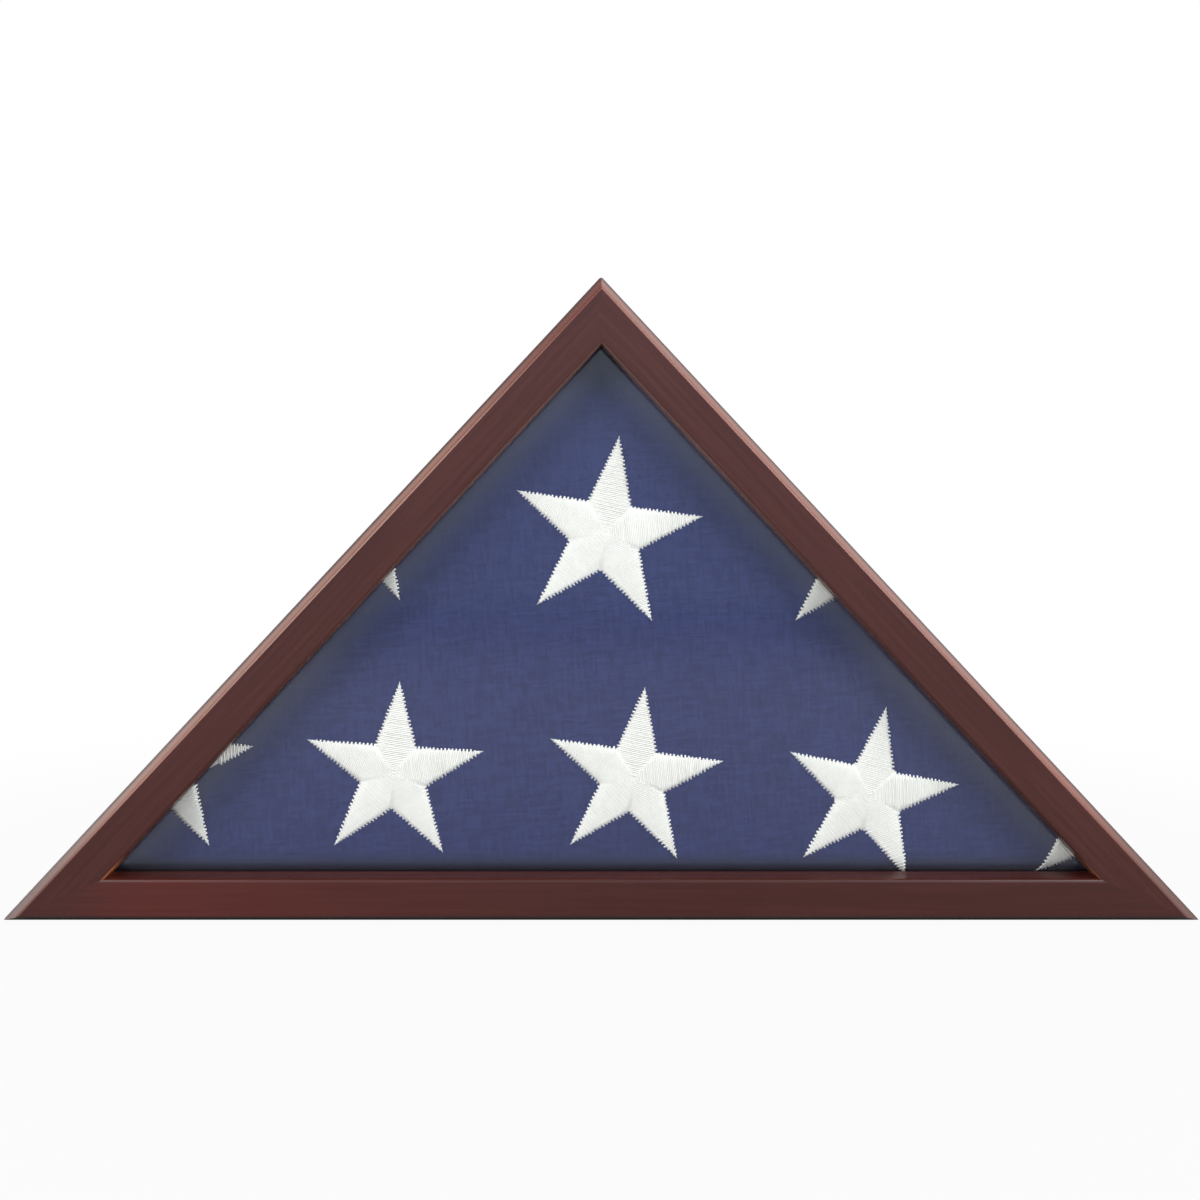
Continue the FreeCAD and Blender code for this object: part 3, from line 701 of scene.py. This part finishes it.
# Stitches: their spacing and section, how high they rise, and how their ends and seams vary
STITCH_PITCH = 0.95 * MM
PITCH_SPREAD = (0.95, 1.05)
STITCH_SLANT = math.tan(math.radians(5))
STITCH_SIDES = 5
FIRST_CORNER = 0.25
STITCH_SPANS = 6
STITCH_RADIUS = 0.47 * MM
STITCH_HEIGHT = 0.3 * MM
STAR_CROWN = 0.62 * MM
CROWN_CURVE = 2.4
CROWN_SPREAD = (0.9, 1.1)
STREAK_SHARE = 0.22
EDGE_TEETH = 0.45 * MM
TOOTH_SHARE = 0.08
TOOTH_SPREAD = (0.4, 1.6)
SEAM_LIFT = 0.5 * MM
SEAM_RUN = 4 * MM
SEAM_OVERLAP = 0.6 * MM

# Underlay of an arm
UNDERLAY_INSET = 1.3 * MM
UNDERLAY_SHORT = 5.2 * MM
UNDERLAY_LEAST = 0.1 * MM
UNDERLAY_LIFT = 0.3 * MM
UNDERLAY_STEPS = 16
UNDERLAY_ACROSS = (-1, -0.5, 0, 0.5, 1)


def star_threads():
    draw = random.Random(SEED)
    verts, faces = [], []
    for x, z, reach, turn in STARS:
        middle = Vector((x, 0, z)) * MM
        for tip in range(STAR_TIPS):
            angle = math.radians(turn + tip * 360 / STAR_TIPS)
            along = Vector((math.cos(angle), 0, math.sin(angle)))
            add_arm(verts, faces, draw, middle, along, reach * MM)
    stars = new_piece("star_embroidery", verts, faces, thread())
    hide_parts("embroidered_stars")
    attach(stars, "case")


def clear_of_frame(points):
    """Whether all points lie inside the part of the flag that carries embroidery"""
    return min(inset_of(point, side) for point in points for side in INWARD) > STAR_LIMIT


def arm_reach(place, reach, lean):
    """An arm's half width at a place along it, and how far short of the waist a leaning stitch ends there"""
    half_turn = math.pi / STAR_TIPS
    waist_along = reach * STAR_WAIST * math.cos(half_turn)
    waist_across = reach * STAR_WAIST * math.sin(half_turn)
    edge_slope = waist_across / (reach - waist_along)
    seam_slope = waist_across / waist_along
    to_edge = edge_slope * (reach - place) / (1 + edge_slope * lean)
    to_seam = seam_slope * place / (1 - seam_slope * lean)
    width = min(to_edge, to_seam)
    return width, max(waist_along - place - width * lean, 0)


def add_arm(verts, faces, draw, middle, along, reach):
    """Satin stitches across an arm over a flat underlay, from its tip to the star's middle"""
    across = Vector((-along.z, 0, along.x))
    add_underlay(verts, faces, middle, along, across, reach)
    place = reach - STITCH_PITCH / 2
    sign = -1
    while place > STITCH_PITCH / 2:
        sign = -sign
        tooth = sign * min(EDGE_TEETH, TOOTH_SHARE * (reach - place))
        ends = []
        for hand in (-1, 1):
            width, in_seam = arm_reach(place, reach, hand * STITCH_SLANT)
            width += SEAM_OVERLAP if in_seam else tooth * draw.uniform(*TOOTH_SPREAD)
            spot = middle + along * (place + width * hand * STITCH_SLANT) + across * hand * max(width, 0)
            ends.append((spot, SEAM_LIFT * min(in_seam / SEAM_RUN, 1)))
        crown = (STAR_CROWN + tooth * STREAK_SHARE) * draw.uniform(*CROWN_SPREAD)
        path = []
        for step in range(STITCH_SPANS + 1):
            share = step / STITCH_SPANS
            spot = ends[0][0].lerp(ends[1][0], share)
            foot = ends[round(share)][1]
            height = foot + (crown - foot) * math.sqrt(1 - abs(2 * share - 1) ** CROWN_CURVE)
            path.append(Vector((spot.x, front_of(spot) - height, spot.z)))
        if clear_of_frame(path):
            add_stitch(verts, faces, path)
        place -= STITCH_PITCH * draw.uniform(*PITCH_SPREAD)


def add_underlay(verts, faces, middle, along, across, reach):
    """A flat strip under an arm's stitches, a little narrower than they are"""
    rows = []
    for step in range(UNDERLAY_STEPS + 1):
        place = (reach - UNDERLAY_SHORT) * step / UNDERLAY_STEPS
        width, in_seam = arm_reach(place, reach, 0)
        if not in_seam:
            width -= UNDERLAY_INSET
        width = max(width, UNDERLAY_LEAST)
        row = []
        for share in UNDERLAY_ACROSS:
            spot = middle + along * place + across * width * share
            row.append(Vector((spot.x, front_of(spot) - UNDERLAY_LIFT, spot.z)))
        rows.append(row)
    for lower, upper in zip(rows, rows[1:]):
        for left in range(len(lower) - 1):
            corners = (lower[left], lower[left + 1], upper[left + 1], upper[left])
            if clear_of_frame(corners):
                faces.append(tuple(range(len(verts), len(verts) + len(corners))))
                verts.extend(tuple(corner) for corner in corners)


def add_stitch(verts, faces, path):
    """A closed flat tube along a path over the cloth"""
    heading = (path[-1] - path[0]).normalized()
    sideways = Vector((-heading.z, 0, heading.x)).normalized()
    start = len(verts)
    for point in path:
        for corner in range(STITCH_SIDES):
            angle = math.tau * (corner + FIRST_CORNER) / STITCH_SIDES
            offset = sideways * math.cos(angle) * STITCH_RADIUS
            offset.y = -math.sin(angle) * STITCH_HEIGHT
            verts.append(tuple(point + offset))
    for span in range(len(path) - 1):
        for corner in range(STITCH_SIDES):
            a = start + span * STITCH_SIDES + corner
            b = start + span * STITCH_SIDES + (corner + 1) % STITCH_SIDES
            faces.append((a, b, b + STITCH_SIDES, a + STITCH_SIDES))
    last = start + (len(path) - 1) * STITCH_SIDES
    faces.append(tuple(reversed(range(start, start + STITCH_SIDES))))
    faces.append(tuple(range(last, last + STITCH_SIDES)))


# Floor: white to the camera further out, with the case's shadow near it, and clear at its rim
FLOOR_SIZE = 6
FLOOR_DROP = 0.2 * MM
FLOOR_GREY = rgb(0.32, 0.32, 0.32)
FLOOR_ROUGHNESS = 0.9
FLOOR_WHITE = (0.3, 0.75, 0.95, 1)
FLOOR_RIM = (1.0, 2.8, 0, 1)
WHITE = rgb(1, 1, 1)


def add_floor():
    half = FLOOR_SIZE / 2
    mesh = bpy.data.meshes.new("floor")
    corners = [(-half, -half), (half, -half), (half, half), (-half, half)]
    mesh.from_pydata([(x, y, -FLOOR_DROP) for x, y in corners], [], [(0, 1, 2, 3)])
    floor = bpy.data.objects.new("floor", mesh)
    bpy.context.scene.collection.objects.link(floor)
    material, tree, shader = new_material("pale_floor")
    shader.inputs["Base Color"].default_value = FLOOR_GREY
    shader.inputs["Roughness"].default_value = FLOOR_ROUGHNESS
    path = add_node(tree, "LightPath", {}, {})
    white = add_node(tree, "Emission", {}, {"Color": WHITE, "Strength": 1})
    distance = add_node(tree, "VectorMath", {"operation": "LENGTH"}, {0: place_of(tree)}).outputs["Value"]
    share = math_of(tree, "MULTIPLY", path.outputs["Is Camera Ray"], fade(tree, distance, *FLOOR_WHITE))
    mixed = add_node(tree, "MixShader", {}, {0: share, 1: shader.outputs[0], 2: white.outputs[0]})
    clear = add_node(tree, "BsdfTransparent", {}, {})
    rim = fade(tree, distance, *FLOOR_RIM)
    faded = add_node(tree, "MixShader", {}, {0: rim, 1: mixed.outputs[0], 2: clear.outputs[0]})
    tree.links.new(faded.outputs[0], tree.nodes["Material Output"].inputs["Surface"])
    mesh.materials.append(material)


# Room that lights the case, as fades over the direction's X, Y and Z
ROOM_FRONT = rgb(0.42, 0.47, 0.53)
ROOM_SIDE = rgb(1.5, 1.5, 1.5)
FRONT_RISE = (-0.05, 0.4, 0.85, 2.3)
FRONT_TO_SIDE = (-0.75, -0.1, 0, 1)
TOP_SHADE = (0.55, 0.9, 1, 0.45)
REAR_SHADE = (0.77, 0.88, 1, 0.1)
SHADE_LEAN = 0.6
UPPER_LEFT_SHADE = (0.67, 0.8, 1, 0.12)
LOWER_RIGHT_SHADE = (-0.34, -0.14, 0.35, 1)


def add_world():
    """A white background that lights as a plain room, dimmer in front, above and straight behind"""
    world = bpy.data.worlds.new("world")
    world.use_nodes = True
    tree = world.node_tree
    tree.nodes.clear()
    direction = add_node(tree, "TexCoord", {}, {}).outputs["Generated"]
    parts = add_node(tree, "SeparateXYZ", {}, {0: direction}).outputs
    front = mix_colour(tree, "MULTIPLY", 1, ROOM_FRONT, fade(tree, parts["Z"], *FRONT_RISE))
    colour = mix_colour(tree, "MIX", fade(tree, parts["Y"], *FRONT_TO_SIDE), front, ROOM_SIDE)
    slope = math_of(tree, "SUBTRACT", parts["Z"], math_of(tree, "MULTIPLY", parts["X"], SHADE_LEAN))
    for value, shade in (
        (parts["Z"], TOP_SHADE), (parts["Y"], REAR_SHADE),
        (slope, UPPER_LEFT_SHADE), (slope, LOWER_RIGHT_SHADE),
    ):
        colour = mix_colour(tree, "MULTIPLY", 1, colour, fade(tree, value, *shade))
    room = add_node(tree, "Background", {}, {"Color": colour, "Strength": 1})
    white = add_node(tree, "Background", {}, {"Color": WHITE, "Strength": 1})
    path = add_node(tree, "LightPath", {}, {})
    mixed = add_node(tree, "MixShader", {}, {
        0: path.outputs["Is Camera Ray"], 1: room.outputs[0], 2: white.outputs[0],
    })
    output = tree.nodes.new("ShaderNodeOutputWorld")
    tree.links.new(mixed.outputs[0], output.inputs["Surface"])
    bpy.context.scene.world = world


LAMP_PLACE = (1.0, -0.9, 0.8)
LAMP_AIM = Vector((0, 0, 0.12))
LAMP_SIZE = 0.6
LAMP_POWER = 13


def add_lamps():
    for sign in (-1, 1):
        data = bpy.data.lights.new("softbox", "AREA")
        data.size = LAMP_SIZE
        data.energy = LAMP_POWER
        lamp = bpy.data.objects.new("softbox", data)
        lamp.location = (sign * LAMP_PLACE[0], LAMP_PLACE[1], LAMP_PLACE[2])
        lamp.rotation_euler = (LAMP_AIM - lamp.location).to_track_quat("-Z", "Y").to_euler()
        bpy.context.scene.collection.objects.link(lamp)


bpy.context.scene.view_settings.view_transform = "Standard"
add_camera()
add_world()
add_lamps()
add_floor()
dress_case()
folded_flag()
star_threads()
